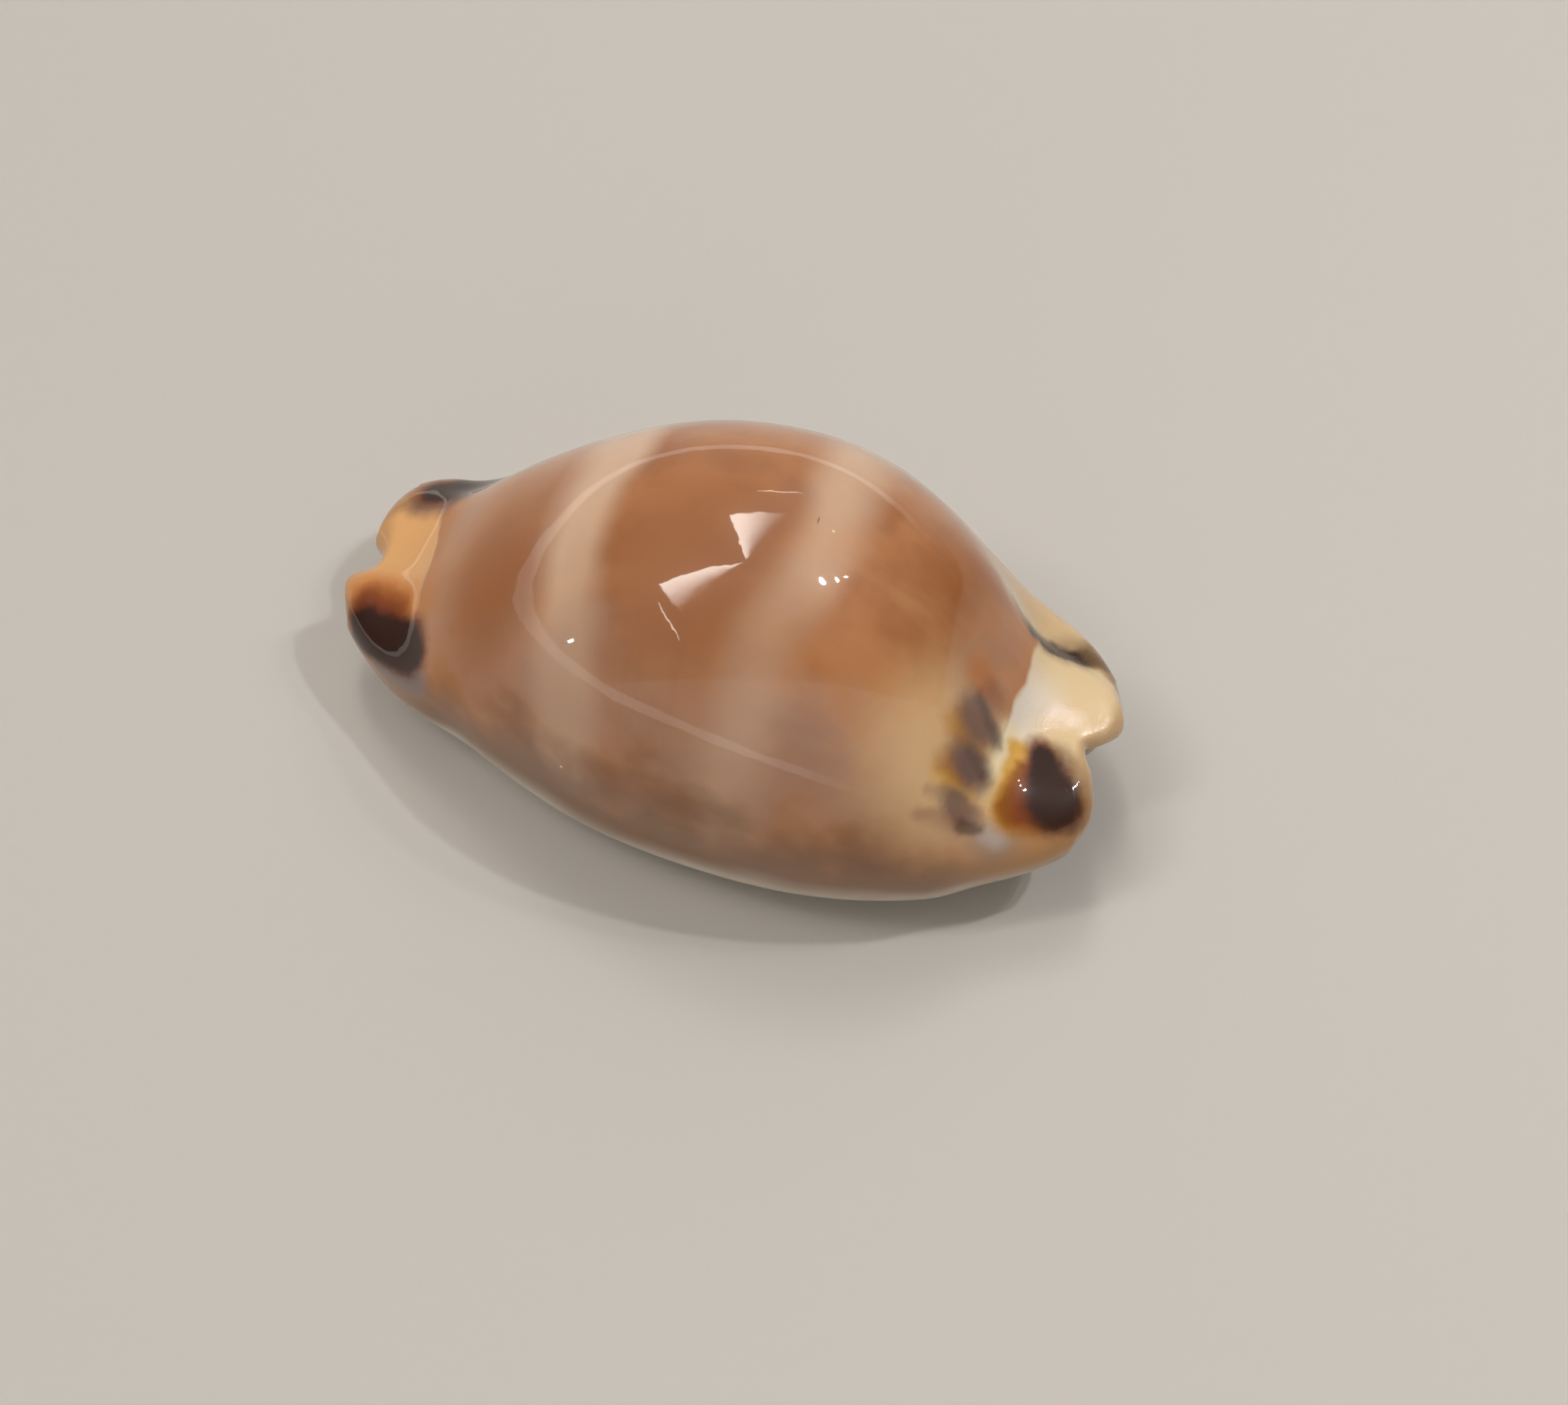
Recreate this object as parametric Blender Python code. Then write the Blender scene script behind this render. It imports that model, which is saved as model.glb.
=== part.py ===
"""Lurid cowrie: one empty shell lying on its base, lofted along its axis.

The wall is rolled up, so each cross-section is a C. Its outer face runs from the outer lip over the dorsum to
the columellar lip, turns round the toothed edge of the aperture and comes back as the inner face.
-X is the anterior end, +X the posterior end with the covered spire, +Y the outer (labral) lip's side, +Z up.
"""

import math

import bpy
import numpy as np

MM = 0.001

# Middle of the box round the shell, which becomes the frame's origin, as (x, y) in mm.
MIDDLE = (-0.003, -0.121)

COLOUR = (0.36, 0.17, 0.07, 1.0)
ROUGHNESS = 0.12

# Outer form in mm: place on the axis, half width on the labral and on the columellar side, heights of the
# dorsum, of the widest line and of the base.
FORM_STATIONS = (
    (-20.6, 6.4, 4.15, 7.0, 4.4, 2.5),
    (-19.4, 7.0, 5.35, 7.3, 4.4, 1.6),
    (-17.8, 7.2, 6.75, 8.2, 4.5, 0.9),
    (-15.6, 7.65, 7.85, 10.9, 4.9, 0.45),
    (-12.5, 8.7, 9.0, 14.3, 5.5, 0.1),
    (-8.5, 10.15, 10.6, 17.8, 6.1, -0.3),
    (-4.0, 11.6, 11.9, 20.2, 6.6, -0.6),
    (1.0, 12.3, 12.5, 21.2, 6.9, -0.7),
    (6.0, 12.0, 12.5, 20.5, 6.8, -0.65),
    (10.5, 10.4, 11.8, 18.0, 6.4, -0.35),
    (13.8, 8.9, 10.8, 14.5, 5.9, 0.1),
    (15.6, 8.25, 9.95, 11.6, 5.6, 0.4),
    (17.0, 7.7, 8.9, 9.6, 5.5, 0.8),
    (18.5, 6.7, 7.7, 9.0, 5.4, 1.5),
    (20.2, 4.9, 6.1, 9.0, 5.4, 2.6),
)

# Aperture and hollow in mm: place on the axis, middle and half gap of the slit, reach of the hollow from there
# to the labral and to the columellar side, heights of its ceiling and its floor.
HOLLOW_STATIONS = (
    (-20.6, 0.2, 1.5, 1.5, 1.5, 5.2, 3.3),
    (-19.4, 0.1, 1.2, 1.3, 1.3, 5.6, 3.1),
    (-17.8, 0.1, 1.1, 1.7, 1.7, 6.3, 3.0),
    (-15.6, 0.3, 1.1, 3.3, 4.1, 8.0, 3.1),
    (-12.5, 0.6, 1.0, 5.4, 7.0, 12.0, 3.1),
    (-8.5, 0.9, 0.95, 6.9, 9.2, 15.9, 3.1),
    (-4.0, 1.1, 0.9, 7.9, 10.7, 18.6, 3.2),
    (1.0, 1.2, 0.9, 8.5, 11.5, 19.8, 3.2),
    (6.0, 1.2, 0.9, 8.3, 11.4, 18.9, 3.2),
    (10.5, 0.9, 0.95, 7.1, 9.9, 15.9, 3.2),
    (14.0, 0.5, 1.0, 5.1, 7.1, 11.4, 3.2),
    (16.6, 0.2, 1.1, 2.8, 3.8, 8.2, 3.2),
    (18.4, 0.0, 1.2, 1.5, 1.6, 7.2, 3.3),
    (20.2, -0.3, 1.7, 1.8, 1.8, 6.9, 3.7),
)

DORSUM_FULLNESS = 0.015
BASE_FULLNESS = 0.11
HOLLOW_MIDDLE = 0.38

# The rolled lip: how far from the slit the base starts to turn up, how far behind the slit the floor of the
# hollow starts, and the most that either takes of the wall's width.
LIP_ROLL = 2.0
LIP_DEPTH = 1.2
LIP_SHARE = 0.6

# How high the lip's edge stands over the base, and the most that it may stand over the wall's mid-height.
LIP_HEIGHT = 1.9
LIP_CLEARANCE = 0.3

TEETH = 24
FIRST_TOOTH = -17.6
TOOTH_PITCH = 1.5
TOOTH_HEIGHT = 0.32

# A tooth grows to its height over the first of these shares of the lip's turn, and fades over the second.
TOOTH_RISE = 0.2
TOOTH_FALL = 0.5

# Places of the sections before the first and after the last tooth. Between them there is one on each tooth and
# one in each gap.
ANTERIOR_PLACES = (-20.6, -20.25, -19.8, -19.1)
POSTERIOR_PLACES = (18.3, 18.95, 19.5, 19.9, 20.2)

# Each end: place and direction, the notch between its two tips as (y, z), and for the labral and the columellar
# tip how far it reaches past the notch and how far to the side of it that reach is full.
ENDS = (
    (FORM_STATIONS[0][0], -1, (0.2, 6.4), (0.3, 5.0), (1.15, 3.5)),
    (FORM_STATIONS[-1][0], 1, (-0.9, 8.1), (1.15, 2.2), (1.75, 5.6)),
)
REACH_START = 5.0

# Below the notch a tip falls back by a share of its reach, over a given depth.
TIP_FALL = 0.6
TIP_FALL_DEPTH = 6.0

# The rounded rim stands out by up to three quarters of its pull, which is at most this share of its thickness.
# The powers say how close to the lips it flattens, and how quickly their teeth's edges fade into it.
RIM_PULL = 2.0
RIM_ROUNDNESS = 0.667
RIM_FLATTENING = 3
EDGE_FADING = 6

# Swellings and hollows of the outer face: place on the axis, half length, angle, half spread and height. The
# angle goes from 0 degrees at the labral side over the dorsum to 180 degrees at the columellar side.
RELIEF = (
    (-21.0, 2.4, 88, 26, -0.6),
    (20.6, 2.4, 86, 26, -0.9),
    (-16.4, 2.6, 36, 14, -0.4),
    (-16.0, 4.0, 8, 16, 0.2),
    (17.0, 3.0, 40, 14, -0.85),
    (16.0, 4.0, 12, 16, 0.25),
    (13.6, 2.4, 64, 16, 0.35),
    (-13.6, 1.6, 190, 20, -0.25),
)

SECTION_POINTS = 31
LIP_POINTS = 5

# Where the lips leave the base is found by halving: half the range of angles, times halved, and the small angle
# that gives the slope there.
HALF_RANGE = 1.55
HALVINGS = 30
SMALL_ANGLE = 0.01


def natural_spline(table):
    """Cubic splines through the rows of a station table: a function from place to its other columns."""
    table = np.array(table)
    knots, values = table[:, 0], table[:, 1:]
    count = len(knots)
    step = np.diff(knots)
    system, bends = np.eye(count), np.zeros_like(values)
    slopes = np.diff(values, axis=0) / step[:, None]
    for i in range(1, count - 1):
        system[i, i - 1 : i + 2] = step[i - 1], 2 * (step[i - 1] + step[i]), step[i]
        bends[i] = 6 * (slopes[i] - slopes[i - 1])
    bends = np.linalg.solve(system, bends)

    def at(place):
        i = np.clip(np.searchsorted(knots, place) - 1, 0, count - 2)
        after, before, width = knots[i + 1] - place, place - knots[i], step[i]
        after, before, width = after[..., None], before[..., None], width[..., None]
        found = (bends[i] * after**3 + bends[i + 1] * before**3) / (6 * width)
        found += (values[i] / width - bends[i] * width / 6) * after
        found += (values[i + 1] / width - bends[i + 1] * width / 6) * before
        return np.moveaxis(found, -1, 0)

    return at


form_at = natural_spline(FORM_STATIONS)
hollow_at = natural_spline(HOLLOW_STATIONS)


def blend(low, high, t):
    """From low at t = -1 to high at t = 1, level at both ends."""
    return (low + high) / 2 + (high - low) / 2 * (1.5 * t - 0.5 * t**3)


def smooth(t):
    t = np.clip(t, 0, 1)
    return t**3 * (t * (6 * t - 15) + 10)


def bump(t):
    return np.exp(-t * t)


def oval(angle, sides, heights, fullness):
    """A point of an oval whose four quarters differ. Angle 0 is the labral side, 90 degrees the dorsum."""
    columellar, labral = sides
    bottom, middle, top = heights
    c, s = np.cos(angle), np.sin(angle)
    full = 1 + np.sin(2 * angle) ** 2 * blend(*fullness, s)
    y = blend(columellar, labral, c) * c * full
    z = middle + blend(middle - bottom, top - middle, s) * s * full
    return y, z


def relief(place, angle):
    degrees = np.degrees(angle)
    return sum(
        height * bump((place - middle) / length) * bump((degrees - around) / spread)
        for middle, length, around, spread, height in RELIEF
    )


def outer(place, angle):
    """The outer face. Its lowest parts are worn flat, and the shell rests on them."""
    labral, columellar, top, middle, bottom = form_at(place)
    y, z = oval(angle, (columellar, labral), (bottom, middle, top), (BASE_FULLNESS, DORSUM_FULLNESS))
    raised = relief(place, angle)
    return y + raised * np.cos(angle), np.maximum(z + raised * np.sin(angle), 0)


def inner(place, angle):
    slit, _, labral, columellar, ceiling, floor = hollow_at(place)
    middle = floor + HOLLOW_MIDDLE * (ceiling - floor)
    y, z = oval(angle, (columellar, labral), (floor, middle, ceiling), (0.0, 0.0))
    return y + slit, z


def angle_below(section, place, y, side):
    """The angle at which the underside of a section is at y, on the labral (1) or the columellar side (-1)."""
    near = np.full_like(place, -math.pi / 2)
    far = near + side * HALF_RANGE
    for _ in range(HALVINGS):
        middle = (near + far) / 2
        short = (section(place, middle)[0] - y) * side < 0
        near, far = np.where(short, middle, near), np.where(short, far, middle)
    return near


def arc(start, corner, end, t):
    return (1 - t) ** 2 * start + 2 * t * (1 - t) * corner + t**2 * end


def tooth(place):
    """Height of the teeth along the slit."""
    along = (place - FIRST_TOOTH) / TOOTH_PITCH
    ends = smooth(along + 1) * smooth(TEETH - along)
    return TOOTH_HEIGHT * ends * (0.5 + 0.5 * np.cos(2 * math.pi * along))


def lip(place, side, points):
    """Angles where the lip leaves the base and meets the hollow, and the points of its edge between them."""
    slit, gap, *hollow_sides, _, _ = hollow_at(place)
    which = 0 if side > 0 else 1
    wall = slit + side * gap
    roll = np.minimum(LIP_ROLL, LIP_SHARE * (form_at(place)[which] - side * wall))
    depth = np.minimum(LIP_DEPTH, LIP_SHARE * (hollow_sides[which] - gap))
    start = angle_below(outer, place, wall + side * roll, side)
    stop = angle_below(inner, place, wall + side * depth, side)
    base_y, base_z = outer(place, start)
    ahead_y, ahead_z = outer(place, start - side * SMALL_ANGLE)
    corner_z = base_z + (ahead_z - base_z) / (ahead_y - base_y) * (wall - base_y)
    floor_y, floor_z = inner(place, stop)
    edge_z = np.minimum(corner_z + LIP_HEIGHT, (corner_z + floor_z) / 2 + LIP_CLEARANCE)
    rows = []
    for share in np.linspace(0, 1, points + 2)[1:-1]:
        t = 2 * share
        if t < 1:
            y, z = arc(base_y, wall, wall, t), arc(base_z, corner_z, edge_z, t)
        else:
            y, z = arc(wall, wall, floor_y, t - 1), arc(edge_z, floor_z, floor_z, t - 1)
        high = tooth(place) * smooth(share / TOOTH_RISE) * smooth((1 - share) / TOOTH_FALL)
        turned = math.pi * share
        rows.append((y - side * high * math.sin(turned), np.maximum(z - high * math.cos(turned), 0)))
    return start, stop, rows


def reach(place, y, z):
    """How far the wall is drawn out along the axis, so that the two tips pass the notch at each end."""
    moved = 0
    for end, direction, notch, labral, columellar in ENDS:
        near_end = smooth(1 - np.abs(end - place) / REACH_START)
        aside, below = y - notch[0], notch[1] - z
        length = np.where(aside > 0, labral[0], columellar[0])
        spread = np.where(aside > 0, labral[1], columellar[1])
        kept = 1 - TIP_FALL * smooth(below / TIP_FALL_DEPTH)
        moved = moved + direction * near_end * length * smooth(np.abs(aside) / spread) * kept
    return moved


def sections(place, points, lip_points):
    """The closed ring of each section: outer face, columellar lip, inner face and labral lip."""
    labral_start, labral_stop, labral_lip = lip(place, 1, lip_points)
    columellar_start, columellar_stop, columellar_lip = lip(place, -1, lip_points)
    column = place[:, None]
    t = np.linspace(0, 1, points)[None, :]
    over = labral_start[:, None] * (1 - t) + (columellar_start + 2 * math.pi)[:, None] * t
    back = labral_stop[:, None] * t + (columellar_stop + 2 * math.pi)[:, None] * (1 - t)
    y_out, z_out = outer(column, over)
    y_in, z_in = inner(column, back)
    columellar_y, columellar_z = np.moveaxis(np.array(columellar_lip), 0, 2)
    labral_y, labral_z = np.moveaxis(np.array(labral_lip[::-1]), 0, 2)
    y = np.hstack([y_out, columellar_y, y_in, labral_y])
    z = np.hstack([z_out, columellar_z, z_in, labral_z])
    return np.stack([column + reach(column, y, z), y, z], axis=2)


def cap(ring, before, points, lip_points):
    """The rounded rim at an end: rows from the outer to the inner face, between the edges of the two lips.

    Each row is on curves that leave both faces in the direction they already have.
    """
    onward = ring - before
    onward /= np.linalg.norm(onward, axis=1)[:, None]
    across = np.linspace(0, 1, points)[:, None]
    outer_way, inner_way = onward[:points], onward[points + lip_points : 2 * points + lip_points][::-1]
    outer_row, inner_row = ring[:points], ring[points + lip_points : 2 * points + lip_points][::-1]
    columellar_edge = ring[points : points + lip_points]
    labral_edge = ring[2 * points + lip_points :][::-1]
    thickness = np.linalg.norm(outer_row - inner_row, axis=1)[:, None]
    pull = np.minimum(RIM_PULL, RIM_ROUNDNESS * thickness)
    fade = np.sqrt(1 - np.abs(2 * across - 1) ** RIM_FLATTENING)
    rows = []
    for i in range(lip_points):
        t = 0.5 - 0.5 * math.cos(math.pi * (i + 1) / (lip_points + 1))
        straight = outer_row * (1 - t) ** 2 * (1 + 2 * t) + inner_row * t**2 * (3 - 2 * t)
        first, last = labral_edge[i] - straight[0], columellar_edge[i] - straight[-1]
        pulled = 3 * t * (1 - t) * ((1 - t) * outer_way + t * inner_way) * pull
        edges = first * (1 - across) ** EDGE_FADING + last * across**EDGE_FADING
        rows.append(straight + edges + pulled * fade)
    return np.array(rows)


def shell_mesh(place, points=SECTION_POINTS, lip_points=LIP_POINTS):
    """Points and four-sided faces of the whole shell."""
    rings = sections(place, points, lip_points)
    count, size, _ = rings.shape
    vertices = [rings.reshape(-1, 3)]
    index = np.arange(count * size).reshape(count, size)
    grids = [np.hstack([index, index[:, :1]])]
    total = count * size
    for end, step in ((0, 1), (count - 1, -1)):
        rows = cap(rings[end], rings[end + step], points, lip_points)
        vertices.append(rows[:, 1:-1].reshape(-1, 3))
        grid = np.zeros((lip_points + 2, points), int)
        grid[0] = index[end, :points]
        grid[-1] = index[end, points + lip_points : 2 * points + lip_points][::-1]
        grid[1:-1, 0] = index[end, 2 * points + lip_points :][::-1]
        grid[1:-1, -1] = index[end, points : points + lip_points]
        inside = lip_points * (points - 2)
        grid[1:-1, 1:-1] = total + np.arange(inside).reshape(lip_points, -1)
        total += inside
        grids.append(grid[:, ::-step])
    faces = []
    for grid in grids:
        corners = grid[:-1, :-1], grid[:-1, 1:], grid[1:, 1:], grid[1:, :-1]
        faces += np.stack(corners, axis=-1).reshape(-1, 4).tolist()
    return np.vstack(vertices), faces


def places():
    """Places of the sections along the axis, half a tooth's pitch apart where there are teeth."""
    steps = np.arange(-1, 2 * TEETH)
    toothed = FIRST_TOOTH + steps * TOOTH_PITCH / 2
    return np.concatenate([ANTERIOR_PLACES, toothed, POSTERIOR_PLACES])


def clear_scene():
    for item in list(bpy.data.objects):
        bpy.data.objects.remove(item, do_unlink=True)


def shell_material():
    """Glossy fawn-brown enamel."""
    material = bpy.data.materials.new("shell")
    material.use_nodes = True
    surface = material.node_tree.nodes["Principled BSDF"]
    surface.inputs["Base Color"].default_value = COLOUR
    surface.inputs["Roughness"].default_value = ROUGHNESS
    surface.inputs["Metallic"].default_value = 0.0
    return material


def main():
    clear_scene()
    vertices, faces = shell_mesh(places())
    vertices = (vertices - (*MIDDLE, 0)) * MM
    mesh = bpy.data.meshes.new("shell")
    mesh.from_pydata(vertices.tolist(), [], faces)
    mesh.update()
    mesh.shade_smooth()
    mesh.materials.append(shell_material())
    collection = bpy.data.collections.new("lurid_cowrie")
    bpy.context.scene.collection.children.link(collection)
    collection.objects.link(bpy.data.objects.new("shell", mesh))


if __name__ == "__main__":
    main()
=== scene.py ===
"""Looks of the lurid cowrie: its fine surface, enamel, colour pattern, floor, light and camera.

The shell is lofted from the same stations as its solid, with far more sections and points. Every
point carries its place along the axis, its angle round the shell and how far it is rolled inwards,
and the colours are laid out on those. -X is the anterior end, +X the posterior end, +Y the outer
(labral) lip's side, +Z up.
"""

import math

import bpy
import numpy as np
from mathutils import Matrix, Vector


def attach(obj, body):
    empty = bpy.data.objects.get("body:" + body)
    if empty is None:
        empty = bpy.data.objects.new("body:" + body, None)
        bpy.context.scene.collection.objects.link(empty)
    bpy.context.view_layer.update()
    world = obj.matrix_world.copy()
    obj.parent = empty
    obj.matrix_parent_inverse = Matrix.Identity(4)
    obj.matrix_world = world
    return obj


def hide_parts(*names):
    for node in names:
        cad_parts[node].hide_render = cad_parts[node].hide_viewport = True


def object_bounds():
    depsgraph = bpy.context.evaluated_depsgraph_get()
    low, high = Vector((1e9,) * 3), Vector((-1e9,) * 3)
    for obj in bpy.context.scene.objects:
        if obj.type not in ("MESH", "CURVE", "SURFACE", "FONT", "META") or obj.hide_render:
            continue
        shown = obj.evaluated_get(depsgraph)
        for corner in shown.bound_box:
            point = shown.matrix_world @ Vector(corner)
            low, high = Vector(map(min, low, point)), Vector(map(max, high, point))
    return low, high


MM = 0.001

# Middle of the box round the shell, which becomes the frame's origin, as (x, y) in mm.
MIDDLE = (-0.003, -0.121)

# Outer form in mm: place on the axis, half width on the labral and on the columellar side, heights
# of the dorsum, of the widest line and of the base.
FORM_STATIONS = (
    (-20.6, 6.4, 4.15, 7.0, 4.4, 2.5),
    (-19.4, 7.0, 5.35, 7.3, 4.4, 1.6),
    (-17.8, 7.2, 6.75, 8.2, 4.5, 0.9),
    (-15.6, 7.65, 7.85, 10.9, 4.9, 0.45),
    (-12.5, 8.7, 9.0, 14.3, 5.5, 0.1),
    (-8.5, 10.15, 10.6, 17.8, 6.1, -0.3),
    (-4.0, 11.6, 11.9, 20.2, 6.6, -0.6),
    (1.0, 12.3, 12.5, 21.2, 6.9, -0.7),
    (6.0, 12.0, 12.5, 20.5, 6.8, -0.65),
    (10.5, 10.4, 11.8, 18.0, 6.4, -0.35),
    (13.8, 8.9, 10.8, 14.5, 5.9, 0.1),
    (15.6, 8.25, 9.95, 11.6, 5.6, 0.4),
    (17.0, 7.7, 8.9, 9.6, 5.5, 0.8),
    (18.5, 6.7, 7.7, 9.0, 5.4, 1.5),
    (20.2, 4.9, 6.1, 9.0, 5.4, 2.6),
)

# Aperture and hollow in mm: place on the axis, middle and half gap of the slit, reach of the hollow
# from there to the labral and to the columellar side, heights of its ceiling and its floor.
HOLLOW_STATIONS = (
    (-20.6, 0.2, 1.5, 1.5, 1.5, 5.2, 3.3),
    (-19.4, 0.1, 1.2, 1.3, 1.3, 5.6, 3.1),
    (-17.8, 0.1, 1.1, 1.7, 1.7, 6.3, 3.0),
    (-15.6, 0.3, 1.1, 3.3, 4.1, 8.0, 3.1),
    (-12.5, 0.6, 1.0, 5.4, 7.0, 12.0, 3.1),
    (-8.5, 0.9, 0.95, 6.9, 9.2, 15.9, 3.1),
    (-4.0, 1.1, 0.9, 7.9, 10.7, 18.6, 3.2),
    (1.0, 1.2, 0.9, 8.5, 11.5, 19.8, 3.2),
    (6.0, 1.2, 0.9, 8.3, 11.4, 18.9, 3.2),
    (10.5, 0.9, 0.95, 7.1, 9.9, 15.9, 3.2),
    (14.0, 0.5, 1.0, 5.1, 7.1, 11.4, 3.2),
    (16.6, 0.2, 1.1, 2.8, 3.8, 8.2, 3.2),
    (18.4, 0.0, 1.2, 1.5, 1.6, 7.2, 3.3),
    (20.2, -0.3, 1.7, 1.8, 1.8, 6.9, 3.7),
)

DORSUM_FULLNESS = 0.015
BASE_FULLNESS = 0.11
HOLLOW_MIDDLE = 0.38

# The rolled lip: how far from the slit the base starts to turn up, how far behind the slit the
# floor of the hollow starts, and the most that either takes of the wall's width.
LIP_ROLL = 2.0
LIP_DEPTH = 1.2
LIP_SHARE = 0.6

# How high the lip's edge stands over the base, and the most that it may stand over the wall's mid-
# height.
LIP_HEIGHT = 1.9
LIP_CLEARANCE = 0.3

TEETH = 24
FIRST_TOOTH = -17.6
TOOTH_PITCH = 1.5
TOOTH_HEIGHT = 0.32

# A tooth grows to its height over the first of these shares of the lip's turn, and fades over the
# second.
TOOTH_RISE = 0.2
TOOTH_FALL = 0.5

# Each end: place and direction, the notch between its two tips as (y, z), and for the labral and
# the columellar tip how far it reaches past the notch and how far to the side of it that reach is
# full.
ENDS = (
    (FORM_STATIONS[0][0], -1, (0.2, 6.4), (0.3, 5.0), (1.15, 3.5)),
    (FORM_STATIONS[-1][0], 1, (-0.9, 8.1), (1.15, 2.2), (1.75, 5.6)),
)
REACH_START = 5.0

# Below the notch a tip falls back by a share of its reach, over a given depth.
TIP_FALL = 0.6
TIP_FALL_DEPTH = 6.0

# The rounded rim stands out by up to three quarters of its pull, which is the smaller of this
# length in mm and this share of the wall's thickness. The powers say how close to the lips the rim
# flattens, and how quickly the edges of their teeth fade into it.
RIM_PULL = 2.0
RIM_ROUNDNESS = 0.667
RIM_FLATTENING = 3
EDGE_FADING = 6

# Swellings and hollows of the outer face: place on the axis, half length, angle, half spread and
# height. The angle goes from 0 degrees at the labral side over the dorsum to 180 degrees at the
# columellar side.
RELIEF = (
    (-21.0, 2.4, 88, 26, -0.6),
    (20.6, 2.4, 86, 26, -0.9),
    (-16.4, 2.6, 36, 14, -0.4),
    (-16.0, 4.0, 8, 16, 0.2),
    (17.0, 3.0, 40, 14, -0.85),
    (16.0, 4.0, 12, 16, 0.25),
    (13.6, 2.4, 64, 16, 0.35),
    (-13.6, 1.6, 190, 20, -0.25),
)

# Points of the fine mesh: across the outer and the inner face, over each lip, and sections per
# tooth and per mm of each plain end.
SECTION_POINTS = 141
LIP_POINTS = 15
SECTIONS_PER_TOOTH = 8
SECTIONS_PER_MM = 6

# Where the lips leave the base is found by halving: half the range of angles, times halved, and the
# small angle that gives the slope there.
HALF_RANGE = 1.55
HALVINGS = 30
SMALL_ANGLE = 0.01

# Photograph's view: the camera's direction in degrees, its distance in m, its aim from the middle
# of the shell as (right, up) in mm, its lens and sensor in mm, and how near it sees in m.
VIEW_AZIMUTH = 17.6
VIEW_ELEVATION = 60.0
VIEW_DISTANCE = 0.22
VIEW_SHIFT = (3.085, -4.798)
LENS = 90.95
SENSOR = 36.0
NEAREST_SEEN = 0.01

FLOOR_SIZE = 3.0
FLOOR_COLOUR = (0.52, 0.50, 0.47, 1)
FLOOR_ROUGHNESS = 0.9

# Glows of the sky: the direction of each, the product of that and a point's direction where the
# glow is full and where it ends, and its strength past the end and where it is full.
GLOWS = (
    ((-0.12, 0.45, 0.88), 1.0, 0.0, 0.1, 0.5),
    ((0.417, -0.726, -0.548), 0.285, 0.27, 0.0, 0.45),
)
SKY_COLOUR = (1.0, 0.95, 0.89, 1)

# Pale strip along the horizon: the sine of its top's elevation, how soft that edge is, its
# strength, and the step in a direction's x that ends it towards +X.
HORIZON_TOP = 0.07
HORIZON_EDGE = 0.006
HORIZON_GLOW = 1.2
HORIZON_END = (0.6, 0.2)

# Panes of the window, wedges of light that are bright along one edge and fade to one side of it:
# the edge's ends as (azimuth, elevation) in degrees, from the narrow end, the side, the width as a
# share of the distance from that end, and strength.
PANES = (
    ((-128, 80), (-147, 54), -1, 0.85, 17.0),
    ((-128, 80), (-70, 49), 1, 0.5, 17.0),
)

# How soft a pane is at its bright edge, from its narrow end on and at its wide end, in lengths of a
# direction.
PANE_EDGE = 0.004
PANE_START = 0.05
PANE_END = 0.01

WHITE = (1.0, 1.0, 1.0)
WARM_WHITE = (1.0, 0.92, 0.86)

# Small lamps: name, the two points of the sky between which each is seen as (azimuth, elevation) in
# degrees, distance and width in m, power in W and colour.
LAMPS = (
    ("lamp_left", (112.8, 62.5), (115.2, 61.0), 0.45, 0.024, 0.35, WHITE),
    ("lamp_middle", (116, 55.5), (118, 54.5), 0.45, 0.014, 0.15, WHITE),
    ("lamp_right", (119.5, 50), (120.5, 50), 0.45, 0.01, 0.06, WHITE),
    ("lamp_low", (-59.5, 11), (-58.5, 11), 0.45, 0.008, 0.02, WHITE),
    ("slit_near", (-56, 47), (-31, 40), 0.5, 0.005, 0.03, WARM_WHITE),
    ("slit_far", (-164, 42), (178, 36), 0.5, 0.004, 0.02, WARM_WHITE),
)


def natural_spline(table):
    """Cubic splines through the rows of a station table: a function from place to its other columns."""
    table = np.array(table)
    knots, values = table[:, 0], table[:, 1:]
    count = len(knots)
    step = np.diff(knots)
    system, bends = np.eye(count), np.zeros_like(values)
    slopes = np.diff(values, axis=0) / step[:, None]
    for i in range(1, count - 1):
        system[i, i - 1 : i + 2] = step[i - 1], 2 * (step[i - 1] + step[i]), step[i]
        bends[i] = 6 * (slopes[i] - slopes[i - 1])
    bends = np.linalg.solve(system, bends)

    def at(place):
        i = np.clip(np.searchsorted(knots, place) - 1, 0, count - 2)
        after, before, width = knots[i + 1] - place, place - knots[i], step[i]
        after, before, width = after[..., None], before[..., None], width[..., None]
        found = (bends[i] * after**3 + bends[i + 1] * before**3) / (6 * width)
        found += (values[i] / width - bends[i] * width / 6) * after
        found += (values[i + 1] / width - bends[i + 1] * width / 6) * before
        return np.moveaxis(found, -1, 0)

    return at


form_at = natural_spline(FORM_STATIONS)
hollow_at = natural_spline(HOLLOW_STATIONS)


def blend(low, high, t):
    """From low at t = -1 to high at t = 1, level at both ends."""
    return (low + high) / 2 + (high - low) / 2 * (1.5 * t - 0.5 * t**3)


def smooth(t):
    t = np.clip(t, 0, 1)
    return t**3 * (t * (6 * t - 15) + 10)


def bump(t):
    return np.exp(-t * t)


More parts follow.
